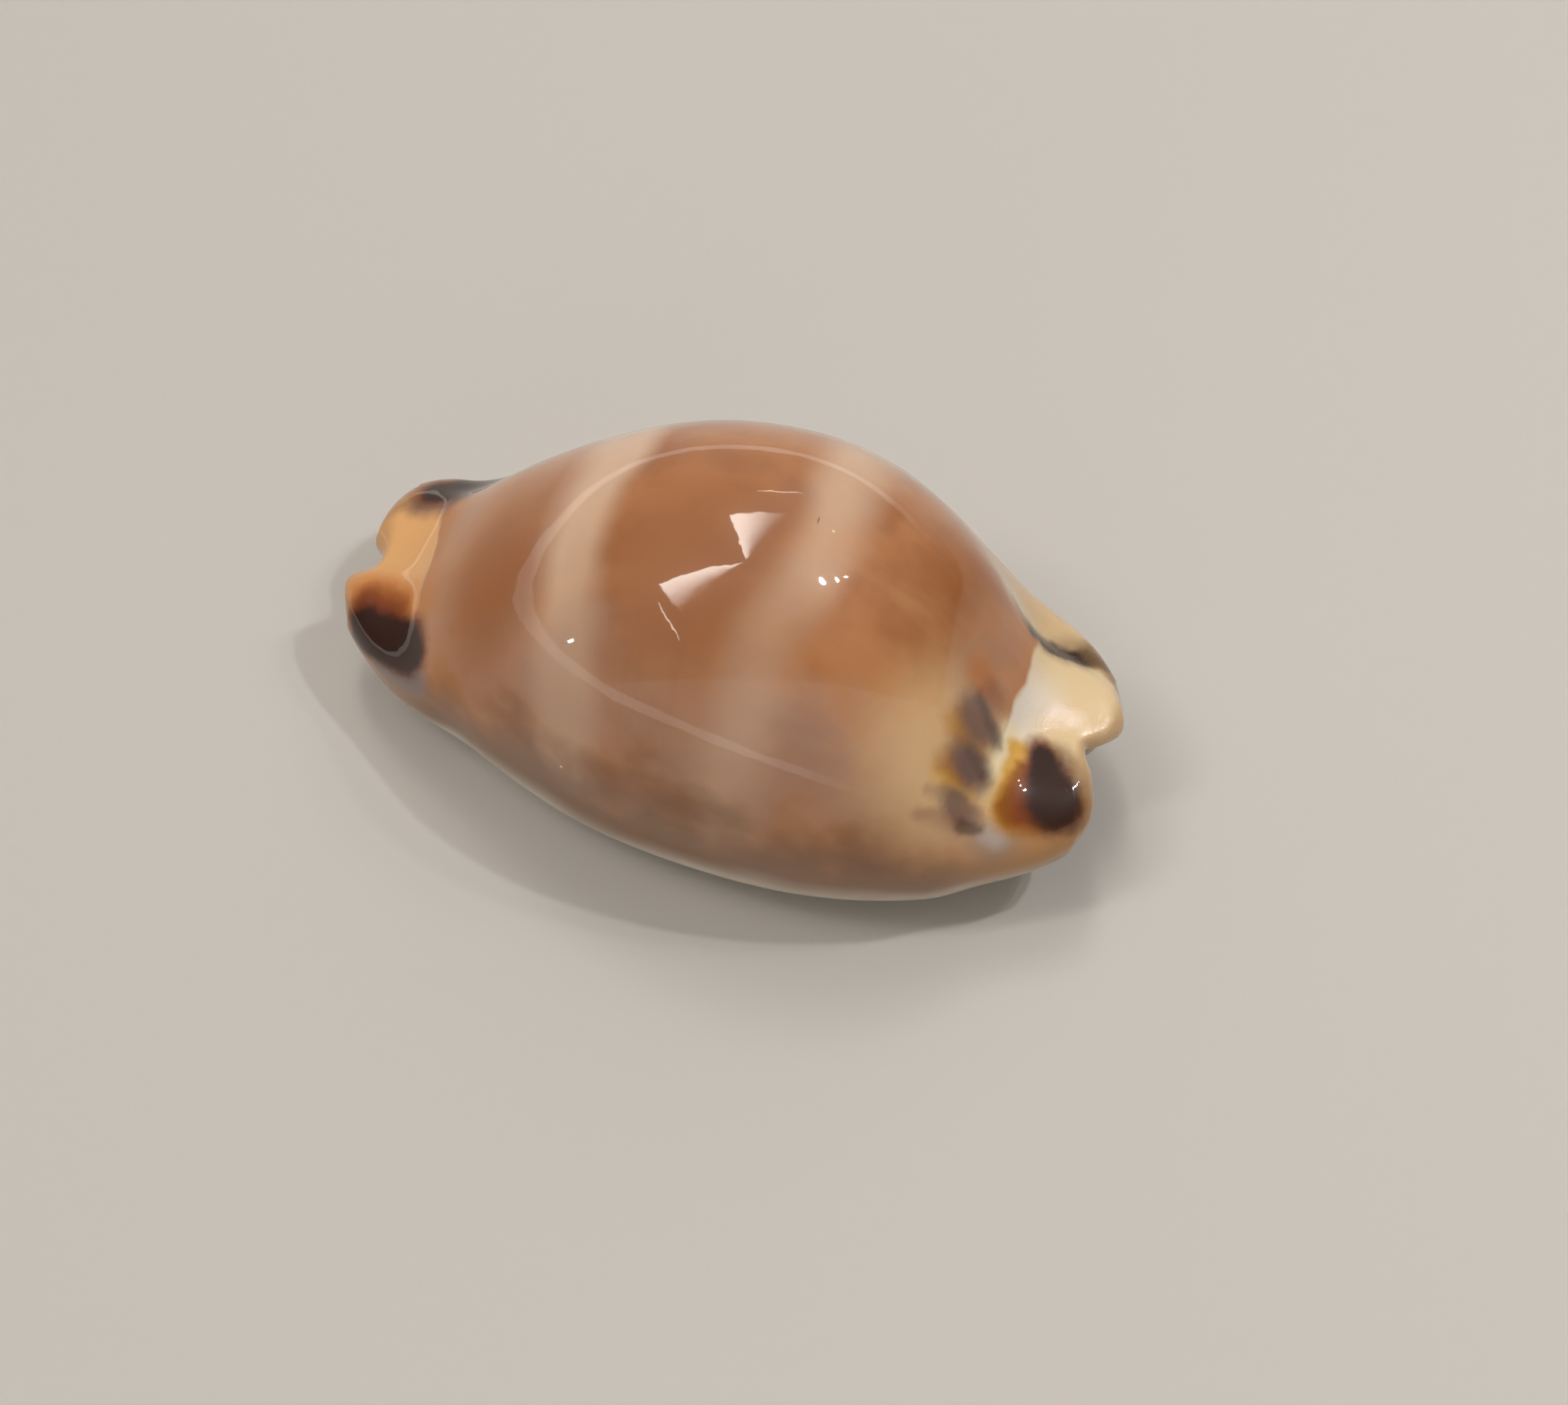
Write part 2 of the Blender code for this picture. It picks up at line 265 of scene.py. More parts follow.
def oval(angle, sides, heights, fullness):
    """A point of an oval whose four quarters differ. Angle 0 is the labral side, 90 degrees the dorsum."""
    columellar, labral = sides
    bottom, middle, top = heights
    c, s = np.cos(angle), np.sin(angle)
    full = 1 + np.sin(2 * angle) ** 2 * blend(*fullness, s)
    y = blend(columellar, labral, c) * c * full
    z = middle + blend(middle - bottom, top - middle, s) * s * full
    return y, z


def relief(place, angle):
    degrees = np.degrees(angle)
    return sum(
        height * bump((place - middle) / length) * bump((degrees - around) / spread)
        for middle, length, around, spread, height in RELIEF
    )


def outer(place, angle):
    """The outer face. Its lowest parts are worn flat, and the shell rests on them."""
    labral, columellar, top, middle, bottom = form_at(place)
    y, z = oval(angle, (columellar, labral), (bottom, middle, top), (BASE_FULLNESS, DORSUM_FULLNESS))
    raised = relief(place, angle)
    return y + raised * np.cos(angle), np.maximum(z + raised * np.sin(angle), 0)


def inner(place, angle):
    slit, _, labral, columellar, ceiling, floor = hollow_at(place)
    middle = floor + HOLLOW_MIDDLE * (ceiling - floor)
    y, z = oval(angle, (columellar, labral), (floor, middle, ceiling), (0.0, 0.0))
    return y + slit, z


def angle_below(section, place, y, side):
    """The angle at which the underside of a section is at y, on the labral (1) or columellar (-1) side."""
    near = np.full_like(place, -math.pi / 2)
    far = near + side * HALF_RANGE
    for _ in range(HALVINGS):
        middle = (near + far) / 2
        short = (section(place, middle)[0] - y) * side < 0
        near, far = np.where(short, middle, near), np.where(short, far, middle)
    return near


def arc(start, corner, end, t):
    return (1 - t) ** 2 * start + 2 * t * (1 - t) * corner + t**2 * end


def tooth(place):
    """Height of the teeth along the slit."""
    along = (place - FIRST_TOOTH) / TOOTH_PITCH
    ends = smooth(along + 1) * smooth(TEETH - along)
    return TOOTH_HEIGHT * ends * (0.5 + 0.5 * np.cos(2 * math.pi * along))


def lip(place, side, points):
    """Angles where the lip leaves the base and meets the hollow, and its edge's points between them."""
    slit, gap, *hollow_sides, _, _ = hollow_at(place)
    which = 0 if side > 0 else 1
    wall = slit + side * gap
    roll = np.minimum(LIP_ROLL, LIP_SHARE * (form_at(place)[which] - side * wall))
    depth = np.minimum(LIP_DEPTH, LIP_SHARE * (hollow_sides[which] - gap))
    start = angle_below(outer, place, wall + side * roll, side)
    stop = angle_below(inner, place, wall + side * depth, side)
    base_y, base_z = outer(place, start)
    ahead_y, ahead_z = outer(place, start - side * SMALL_ANGLE)
    corner_z = base_z + (ahead_z - base_z) / (ahead_y - base_y) * (wall - base_y)
    floor_y, floor_z = inner(place, stop)
    edge_z = np.minimum(corner_z + LIP_HEIGHT, (corner_z + floor_z) / 2 + LIP_CLEARANCE)
    rows = []
    for share in np.linspace(0, 1, points + 2)[1:-1]:
        t = 2 * share
        if t < 1:
            y, z = arc(base_y, wall, wall, t), arc(base_z, corner_z, edge_z, t)
        else:
            y, z = arc(wall, wall, floor_y, t - 1), arc(edge_z, floor_z, floor_z, t - 1)
        high = tooth(place) * smooth(share / TOOTH_RISE) * smooth((1 - share) / TOOTH_FALL)
        turned = math.pi * share
        rows.append((y - side * high * math.sin(turned), np.maximum(z - high * math.cos(turned), 0)))
    return start, stop, rows


def reach(place, y, z):
    """How far the wall is drawn out along the axis, so that the two tips pass the notch at each end."""
    moved = 0
    for end, direction, notch, labral, columellar in ENDS:
        near_end = smooth(1 - np.abs(end - place) / REACH_START)
        aside, below = y - notch[0], notch[1] - z
        length = np.where(aside > 0, labral[0], columellar[0])
        spread = np.where(aside > 0, labral[1], columellar[1])
        kept = 1 - TIP_FALL * smooth(below / TIP_FALL_DEPTH)
        moved = moved + direction * near_end * length * smooth(np.abs(aside) / spread) * kept
    return moved


def sections(place, points, lip_points):
    """The closed ring of each section: outer face, columellar lip, inner face and labral lip.

    Also the place, the angle in degrees and the share rolled inwards of each of its points.
    """
    labral_start, labral_stop, labral_lip = lip(place, 1, lip_points)
    columellar_start, columellar_stop, columellar_lip = lip(place, -1, lip_points)
    column = place[:, None]
    t = np.linspace(0, 1, points)[None, :]
    over = labral_start[:, None] * (1 - t) + (columellar_start + 2 * math.pi)[:, None] * t
    back = labral_stop[:, None] * t + (columellar_stop + 2 * math.pi)[:, None] * (1 - t)
    y_out, z_out = outer(column, over)
    y_in, z_in = inner(column, back)
    columellar_y, columellar_z = np.moveaxis(np.array(columellar_lip), 0, 2)
    labral_y, labral_z = np.moveaxis(np.array(labral_lip[::-1]), 0, 2)
    y = np.hstack([y_out, columellar_y, y_in, labral_y])
    z = np.hstack([z_out, columellar_z, z_in, labral_z])
    flat = np.ones((1, lip_points))
    angle = np.hstack([over, over[:, -1:] * flat, back, over[:, :1] * flat])
    rolled = np.linspace(0, 1, lip_points + 2)[1:-1]
    inward = np.concatenate([np.zeros(points), rolled, np.ones(points), rolled[::-1]])
    marks = column + 0 * y, np.degrees(angle), inward + 0 * y
    return np.stack([column + reach(column, y, z), y, z], axis=2), np.stack(marks, axis=2)


def cap(ring, before, points, lip_points):
    """The rounded rim at an end: rows from the outer to the inner face, between the edges of the two lips.

    Each row is on curves that leave both faces in the direction they already have.
    """
    onward = ring - before
    onward /= np.linalg.norm(onward, axis=1)[:, None]
    across = np.linspace(0, 1, points)[:, None]
    outer_way, inner_way = onward[:points], onward[points + lip_points : 2 * points + lip_points][::-1]
    outer_row, inner_row = ring[:points], ring[points + lip_points : 2 * points + lip_points][::-1]
    columellar_edge = ring[points : points + lip_points]
    labral_edge = ring[2 * points + lip_points :][::-1]
    thickness = np.linalg.norm(outer_row - inner_row, axis=1)[:, None]
    pull = np.minimum(RIM_PULL, RIM_ROUNDNESS * thickness)
    fade = np.sqrt(1 - np.abs(2 * across - 1) ** RIM_FLATTENING)
    rows = []
    for i in range(lip_points):
        t = 0.5 - 0.5 * math.cos(math.pi * (i + 1) / (lip_points + 1))
        straight = outer_row * (1 - t) ** 2 * (1 + 2 * t) + inner_row * t**2 * (3 - 2 * t)
        first, last = labral_edge[i] - straight[0], columellar_edge[i] - straight[-1]
        pulled = 3 * t * (1 - t) * ((1 - t) * outer_way + t * inner_way) * pull
        edges = first * (1 - across) ** EDGE_FADING + last * across**EDGE_FADING
        rows.append(straight + edges + pulled * fade)
    return np.array(rows)


def shell_mesh(place, points=SECTION_POINTS, lip_points=LIP_POINTS):
    """Points, their marks (place, angle, inward), and four-sided faces of the whole shell."""
    rings, ring_marks = sections(place, points, lip_points)
    count, size, _ = rings.shape
    vertices, marks = [rings.reshape(-1, 3)], [ring_marks.reshape(-1, 3)]
    index = np.arange(count * size).reshape(count, size)
    grids = [np.hstack([index, index[:, :1]])]
    total = count * size
    for end, step in ((0, 1), (count - 1, -1)):
        rows = cap(rings[end], rings[end + step], points, lip_points)
        vertices.append(rows[:, 1:-1].reshape(-1, 3))
        row_marks = np.repeat(ring_marks[end, None, 1 : points - 1], lip_points, axis=0)
        row_marks[:, :, 2] = np.linspace(0, 1, lip_points + 2)[1:-1, None]
        marks.append(row_marks.reshape(-1, 3))
        grid = np.zeros((lip_points + 2, points), int)
        grid[0] = index[end, :points]
        grid[-1] = index[end, points + lip_points : 2 * points + lip_points][::-1]
        grid[1:-1, 0] = index[end, 2 * points + lip_points :][::-1]
        grid[1:-1, -1] = index[end, points : points + lip_points]
        inside = lip_points * (points - 2)
        grid[1:-1, 1:-1] = total + np.arange(inside).reshape(lip_points, -1)
        total += inside
        grids.append(grid[:, ::-step])
    faces = []
    for grid in grids:
        corners = grid[:-1, :-1], grid[:-1, 1:], grid[1:, 1:], grid[1:, :-1]
        faces += np.stack(corners, axis=-1).reshape(-1, 4).tolist()
    return np.vstack(vertices), np.vstack(marks), faces


def fine_places():
    """Places of the sections along the axis, closer together where there are teeth."""
    start, stop = FORM_STATIONS[0][0], FORM_STATIONS[-1][0]
    first, last = FIRST_TOOTH - TOOTH_PITCH, FIRST_TOOTH + TEETH * TOOTH_PITCH
    anterior = np.linspace(start, first, round((first - start) * SECTIONS_PER_MM), endpoint=False)
    toothed = np.linspace(first, last, (TEETH + 1) * SECTIONS_PER_TOOTH, endpoint=False)
    posterior = np.linspace(last, stop, round((stop - last) * SECTIONS_PER_MM))
    return np.concatenate([anterior, toothed, posterior])


def make_shell():
    """The fine shell, with its marks as point attributes."""
    vertices, marks, faces = shell_mesh(fine_places())
    vertices = (vertices - (*MIDDLE, 0)) * MM
    mesh = bpy.data.meshes.new("cowrie_shell")
    mesh.from_pydata(vertices.tolist(), [], faces)
    mesh.update()
    mesh.shade_smooth()
    for name, values in zip(("place", "angle", "inward"), marks.T):
        attribute = mesh.attributes.new(name, "FLOAT", "POINT")
        attribute.data.foreach_set("value", np.ascontiguousarray(values, np.float32))
    shell = bpy.data.objects.new("cowrie_shell", mesh)
    bpy.context.scene.collection.objects.link(shell)
    return shell


class Nodes:
    """Short calls that add linked shader nodes to a tree. An input is a number, a tuple or a socket."""

    def __init__(self, tree):
        self.tree = tree

    def put(self, socket, value):
        if isinstance(value, bpy.types.NodeSocket):
            self.tree.links.new(value, socket)
        else:
            socket.default_value = value

    def node(self, kind, inputs, **settings):
        node = self.tree.nodes.new(kind)
        for name, value in settings.items():
            setattr(node, name, value)
        for name, value in inputs.items():
            self.put(node.inputs[name], value)
        return node

    def attribute(self, name):
        return self.node("ShaderNodeAttribute", {}, attribute_name=name).outputs["Fac"]

    def math(self, operation, a, b=0.0, c=0.0):
        return self.node("ShaderNodeMath", {0: a, 1: b, 2: c}, operation=operation).outputs[0]

    def times(self, first, *others):
        for other in others:
            first = self.math("MULTIPLY", first, other)
        return first

    def vector(self, operation, a, b=(0, 0, 0)):
        node = self.node("ShaderNodeVectorMath", {0: a, 1: b}, operation=operation)
        return node.outputs["Value" if operation in ("LENGTH", "DOT_PRODUCT") else "Vector"]

    def scaled(self, vector, factor):
        """A vector times a number, which is input 3 of the node."""
        return self.node("ShaderNodeVectorMath", {0: vector, 3: factor}, operation="SCALE").outputs[0]

    def combine(self, x, y, z):
        return self.node("ShaderNodeCombineXYZ", {0: x, 1: y, 2: z}).outputs[0]

    def noise(self, where, scale, detail=2.0, roughness=0.5, output="Fac"):
        inputs = {"Vector": where, "Scale": scale, "Detail": detail, "Roughness": roughness}
        return self.node("ShaderNodeTexNoise", inputs).outputs[output]

    def step(self, value, low, high, to_low=0.0, to_high=1.0):
        """A smooth step from to_low at low to to_high at high."""
        inputs = {"Value": value, "From Min": low, "From Max": high, "To Min": to_low, "To Max": to_high}
        return self.node("ShaderNodeMapRange", inputs, interpolation_type="SMOOTHSTEP").outputs[0]

    def steps(self, value, rows):
        """A list of smooth steps in one value."""
        return [self.step(value, *row) for row in rows]

    def mix(self, share, a, b):
        """A mix of two colours, which are inputs 6 and 7 and output 2 of the node."""
        return self.node("ShaderNodeMix", {0: share, 6: a, 7: b}, data_type="RGBA").outputs[2]


def rgb(red, green, blue):
    """A colour of 0 to 255 display values as linear ones."""
    values = [channel / 255 for channel in (red, green, blue)]
    linear = [v / 12.92 if v < 0.04045 else ((v + 0.055) / 1.055) ** 2.4 for v in values]
    return (*linear, 1.0)


FAWN = rgb(178, 120, 76)
DEEP_FAWN = rgb(144, 88, 48)
PALE_FAWN = rgb(194, 144, 102)
MAUVE_FAWN = rgb(146, 102, 80)
ORANGE_FAWN = rgb(182, 118, 58)
BAND = rgb(217, 184, 156)
BAND_EDGE = rgb(156, 92, 46)
# Margin colour, partly painted shade that darkens the lower sides.
MARGIN_AND_SHADE = rgb(120, 82, 50)
BASE = rgb(236, 226, 208)
INSIDE = rgb(222, 208, 206)
RIM = rgb(176, 132, 90)
ANTERIOR_COLLAR = rgb(212, 160, 104)
COLLAR_SHADE = rgb(190, 122, 66)
POSTERIOR_COLLAR = rgb(216, 190, 148)
# Colour of the whitish strip on the posterior collar, partly painted glare.
PALE_COLLAR_GLARE = rgb(222, 210, 196)
CALLUS = rgb(206, 176, 134)
TIP_TAN = rgb(170, 124, 76)
HALO = rgb(220, 182, 132)
YELLOW_CREAM = rgb(236, 218, 180)
# Greyish veil colour, partly the shell's own tone and partly a painted reflection.
GREY_TONE_AND_REFLECTION = rgb(170, 142, 126)
# Colour of a painted reflection haze.
REFLECTED_HAZE = rgb(176, 172, 170)
BLACK_BROWN = rgb(40, 16, 6)
RED_BROWN = rgb(108, 46, 12)
BURNT_ORANGE = rgb(124, 60, 8)
AMBER = rgb(142, 82, 2)
GOLD = rgb(208, 154, 52)
PURPLE = rgb(92, 66, 64)
BLUE_GREY = rgb(116, 112, 116)
ORANGE = rgb(176, 102, 34)
DEEP_ORANGE = rgb(144, 80, 24)
OLIVE = rgb(112, 82, 48)
HAIRLINE = rgb(84, 50, 30)
SPECK = rgb(236, 210, 184)

# In the values that follow, lengths and places on the axis are in mm and angles round the shell in
# degrees. A step says where it starts and where it ends, and then its values there, unless they are
# 0 and 1. A span is a row of steps in the angle that count together. A noise is its cells per mm,
# detail and roughness.

# The noise hardly leaves this range, and this is the middle of a noise colour.
NOISE_RANGE = (0.2, 0.8)
NOISE_MIDDLE = (0.5, 0.5, 0.5)

# Random shifts that make borders uneven: the most either way, and the noise.
BAND_SHIFT = (0.4, 0.22, 1.0)
COLLAR_SHIFT = (0.12, 0.5, 1.0)
SIDE_SHIFT = (8, 0.3, 2.0)
HAIRLINE_SHIFT = (3, 0.8, 2.0)
BASE_SHIFT = (4, 0.15, 2.0)

# The same for round and long marks: cells per mm, and the range of the shift in mm.
WARPS = ((0.35, 0.9), (1.2, 0.45), (3.0, 0.12))

# Layouts on the place and the angle: cells per mm and per degree, and a shift that sets each apart.
STREAK_CELLS = (0.1, 0.06, 0.0)
GROWTH_CELLS = (0.9, 0.012, 3.0)
HAIRLINE_CELLS = (0.7, 0.018, 7.0)

# Ground: noise, step in it and colour of the clouds, the patches, the streaks along the shell and
# the growth lines across it. The last two have their own layouts, and the patches read the noise at
# an offset.
GROUND = (
    ((0.15, 3.0, 0.5), (0.4, 0.7, 0.0, 0.8), DEEP_FAWN),
    ((0.2, 3.0, 0.5), (0.45, 0.75, 0.0, 0.7), MAUVE_FAWN),
    ((1.0, 4.0, 0.6), (0.45, 0.8, 0.0, 0.4), PALE_FAWN),
    ((1.0, 4.0, 0.65), (0.5, 0.85, 0.0, 0.3), DEEP_FAWN),
)
PATCH_OFFSET = (40, 0, 0)

# Towards the anterior end the ground turns orange.
ANTERIOR_ORANGE = (-9.0, -14.0, 0.0, 0.7)

# Pale bands over the dorsum: place on the axis at the labral side, angles over which it shifts, its
# place at the columellar side, half width, softness of the anterior and of the posterior edge, and
# strength.
BANDS = (
    (-7.8, 95, 160, -6.2, 1.8, 1.5, 0.9, 0.8),
    (5.3, 84, 126, 3.6, 1.5, 1.2, 1.6, 0.7),
)

# The bands end at both sides and are weaker low on the near side.
BAND_SPAN = ((5, 30), (184, 165), (150, 95, 0.6, 1.0))

# Deeper patches behind a band's posterior edge: how far behind it they are full, start to fade and
# end, and the noise that breaks them up.
DEEPER_FULL = 1.0
DEEPER_FADE = 0.8
DEEPER_END = 3.4
DEEPER_NOISE = (0.3, 2.0)
DEEPER_OFFSET = (0, 30, 0)
DEEPER_STEP = (0.4, 0.7, 0.0, 0.7)

# Sides: the greyish veil, partly the shell's tone and partly a painted reflection, the margins, partly
# painted shade that darkens both sides low down, and the callus beside the posterior far tip.
GREY_TONE_AND_REFLECTION_SPAN = ((114, 132), (162, 144))
GREY_TONE_AND_REFLECTION_STRENGTH = 0.35
MARGIN_AND_SHADE_STEPS = ((150, 180, 0.0, 0.85), (22, 0, 0.0, 0.6))
CALLUS_PLACE = (9.5, 16.5)
CALLUS_SIDE = (62, 44)

# Anterior end: the place of the line where it starts, which is crisp over a span and soft past it,
# the span of its collar, and the shade on that.
ANTERIOR_LINE = (60, 120, -18.15, -17.15)
ANTERIOR_EDGE = (0.1, -0.1)
CRISP_SPAN = ((10, 40), (165, 145))
SOFT_START = (-15.0, -20.0)
ANTERIOR_TOP = ((48, 60), (146, 128))
COLLAR_SHADE_SIDE = (88, 122, 0.0, 0.6)

# Posterior end: the place of its line, by the distance in degrees from the spire, the span of its
# collar, the paler strip along the line, partly painted glare, and the tan near tip.
SPIRE_ANGLE = 116
POSTERIOR_LINE = (0, 14, 16.2, 16.65)
POSTERIOR_EDGE = (-0.12, 0.12)
POSTERIOR_TOP = ((30, 46), (146, 128))
PALE_COLLAR_GLARE_PLACE = (19.0, 17.0)
PALE_COLLAR_GLARE_SIDE = (60, 90)
TIP_PLACE = (14.5, 18.5)
TIP_SIDE = (125, 145)

# Relief in mm: swells all over, the sunken collars, and the dull grain of the posterior one.
SWELL_NOISE = (0.7, 2.0)
SWELL_HEIGHT = 0.012
SUNKEN_SPAN = ((45, 60), (126, 112))
SUNKEN_DEPTH = 0.05
GRAIN_NOISE = (6.0, 2.0)
GRAIN_SIDE = (104, 92)
GRAIN_HEIGHT = 0.04

# Underside: cream between the margins and weaker towards the ends, then tan rims and a whitish
# inside by how far a point is rolled inwards.
BASE_SIDES = ((184, 214), (-4, -34))
BASE_ENDS = (21.0, 17.0, 0.3, 1.0)
RIM_STEP = (0.1, 0.4, 0.0, 0.6)
INSIDE_STEP = (0.5, 0.9)

# Flecks: cells per unit of the layout, radius in cells, share of the cells that have one, colour
# and strength. A fleck is at full strength over this share of its radius.
SPECKS = (0.32, 0.04, 0.45, SPECK, 0.8)
HAIRLINES = (1.0, 0.04, 0.5, HAIRLINE, 0.7)
FLECK_CORE = 0.5

# Values that are the same all over the enamel.
ENAMEL_VALUES = {
    "Roughness": 0.32,
    "IOR": 1.5,
    "Specular IOR Level": 0.12,
    "Coat Weight": 1.0,
    "Coat Roughness": 0.03,
    "Coat IOR": 1.45,
}

# Round marks in the enamel: middle in mm, half lengths along x, y and z, turn about +Z in degrees,
# colour, softness of the edge as a share of the radius, and strength. Later ones lie over earlier
# ones.
SPOTS = (
    # Deeper brown between the bands, towards the anterior end and behind the second band.
    ((-0.5, -3.0, 19.6), (5.0, 6.5, 4.0), 0, DEEP_FAWN, 0.8, 0.8),
    ((-12.6, -3.0, 13.2), (3.0, 5.5, 4.5), 0, DEEP_ORANGE, 0.7, 0.85),
    ((12.0, 4.5, 14.5), (2.5, 3.5, 4.0), 0, DEEP_ORANGE, 0.8, 0.6),
    # Pale ground round the spire's spots and yellow ground behind them.
    ((13.8, -5.8, 11.8), (4.4, 4.4, 5.2), 0, HALO, 0.6, 0.75),
    ((17.0, -3.8, 9.4), (1.1, 2.4, 2.2), 0, YELLOW_CREAM, 0.4, 0.9),
    # Orange-brown patches above the first spot of the spire.
    ((14.9, -0.8, 12.8), (1.3, 1.1, 1.7), 20, ORANGE, 0.6, 0.85),
    ((15.7, -0.9, 11.4), (1.0, 0.8, 1.6), 0, RED_BROWN, 0.7, 0.5),
    # Amber and purple-brown spots of the spire.
    ((15.0, -4.2, 12.0), (1.5, 0.9, 1.9), 0, GOLD, 0.7, 0.9),
    ((15.0, -6.6, 11.0), (1.6, 0.8, 1.8), 0, GOLD, 0.7, 0.9),
    ((15.0, -3.6, 12.0), (1.6, 1.1, 2.4), 30, AMBER, 0.6, 0.7),
    ((15.3, -2.9, 11.8), (1.6, 1.3, 2.4), 0, PURPLE, 0.45, 0.75),
    ((14.9, -5.9, 11.5), (1.4, 0.7, 1.7), 20, AMBER, 0.6, 0.7),
    ((15.3, -5.2, 11.0), (1.7, 0.9, 2.1), 0, RED_BROWN, 0.6, 0.5),
    ((15.6, -5.2, 10.8), (1.5, 0.95, 2.0), 0, PURPLE, 0.5, 0.85),
    ((15.6, -7.3, 9.8), (1.4, 0.9, 1.8), 10, PURPLE, 0.5, 0.75),
    # Painted reflection: a blue-white haze below them.
    ((17.6, -7.7, 7.7), (1.5, 1.2, 1.4), 0, BLUE_GREY, 0.7, 0.4),
    ((17.6, -7.5, 7.8), (0.8, 0.6, 0.8), 0, REFLECTED_HAZE, 0.7, 0.5),
)

# Long marks in the enamel: start and end in mm, radius at both, colour, softness of the edge as a
# share of the radius, and strength.
STROKES = (
    # Darker far sides of the spire's spots, and the streaks that run forward from them.
    ((15.0, -1.9, 12.6), (16.5, -3.0, 10.2), 0.45, 0.45, BLACK_BROWN, 0.9, 0.5),
    ((15.3, -4.7, 11.4), (16.4, -5.0, 10.0), 0.4, 0.45, BLACK_BROWN, 0.9, 0.35),
    ((15.6, -8.0, 9.2), (13.6, -8.9, 11.0), 0.7, 0.4, RED_BROWN, 0.9, 0.4),
    ((15.4, -7.0, 10.2), (13.8, -7.8, 11.8), 0.6, 0.35, PURPLE, 0.9, 0.35),
    ((15.9, -8.0, 8.9), (16.9, -7.6, 8.5), 0.5, 0.4, BLACK_BROWN, 0.6, 0.6),
    # Blotch of the posterior near tip: amber on the spire's side, then nearly black.
    ((17.6, -2.6, 9.1), (18.0, -5.6, 8.4), 0.7, 1.45, GOLD, 0.5, 0.9),
    ((18.0, -3.5, 8.8), (18.2, -5.7, 8.3), 0.5, 1.3, AMBER, 0.55, 0.95),
    ((18.6, -2.8, 8.7), (18.8, -5.6, 8.2), 0.45, 1.2, BURNT_ORANGE, 0.7, 0.95),
    ((19.4, -2.3, 8.6), (20.8, -4.0, 8.1), 1.1, 1.8, OLIVE, 0.5, 0.7),
    ((18.7, -2.1, 8.7), (20.1, -4.6, 8.1), 0.9, 1.7, RED_BROWN, 0.5, 0.85),
    ((18.9, -2.3, 8.7), (20.1, -4.6, 8.1), 0.7, 1.6, BLACK_BROWN, 0.35, 0.96),
    # Painted shade along the crease beside the posterior far tip, then the dark line in the groove behind
    # it.
    ((14.2, 5.2, 11.9), (16.3, 4.7, 9.8), 0.35, 0.4, OLIVE, 0.6, 0.7),
    ((16.3, 4.7, 9.8), (18.8, 5.3, 7.5), 0.6, 1.3, OLIVE, 0.6, 0.6),
    ((16.3, 4.7, 9.7), (17.6, 4.9, 8.1), 0.4, 0.7, BLACK_BROWN, 0.4, 0.9),
    ((17.6, 4.9, 8.1), (19.2, 5.3, 7.2), 0.7, 0.65, BLACK_BROWN, 0.5, 0.95),
    ((19.2, 5.3, 7.2), (20.6, 5.2, 7.0), 0.65, 0.4, BLACK_BROWN, 0.6, 0.8),
    ((19.6, 6.0, 6.7), (21.8, 4.2, 7.0), 0.8, 0.6, OLIVE, 0.6, 0.8),
    # Orange end of the anterior collar, and the blotch of the near tip with its blue-grey lower edge.
    ((-20.5, -2.5, 6.8), (-18.6, -3.0, 7.4), 1.2, 1.1, ORANGE, 0.7, 0.8),
    ((-20.5, -3.0, 6.7), (-18.6, -3.5, 7.3), 1.0, 0.9, BURNT_ORANGE, 0.6, 0.95),
    ((-18.8, -6.6, 5.6), (-16.6, -7.1, 6.6), 1.1, 1.1, BLUE_GREY, 0.7, 0.8),
    ((-20.3, -4.4, 6.2), (-17.1, -5.5, 7.4), 1.7, 1.8, RED_BROWN, 0.3, 0.85),
    ((-20.2, -4.6, 6.1), (-17.2, -5.6, 7.3), 1.4, 1.55, BLACK_BROWN, 0.25, 0.96),
    # Blotch of the anterior far tip, drawn out to a point.
    ((-19.9, 4.1, 6.7), (-18.6, 4.3, 7.1), 0.9, 0.9, PURPLE, 0.8, 0.8),
    ((-19.6, 5.5, 6.1), (-17.4, 6.2, 6.5), 1.4, 2.2, RED_BROWN, 0.4, 0.8),
    ((-19.2, 5.5, 6.2), (-17.4, 6.2, 6.5), 1.2, 1.9, BLACK_BROWN, 0.35, 0.95),
    ((-17.4, 6.2, 6.6), (-15.0, 7.0, 7.4), 1.5, 0.5, BLACK_BROWN, 0.5, 0.85),
    # Dark streak in the anterior near groove.
    ((-13.6, -8.3, 6.1), (-12.0, -9.0, 5.1), 0.5, 0.4, DEEP_FAWN, 0.6, 0.6),
)


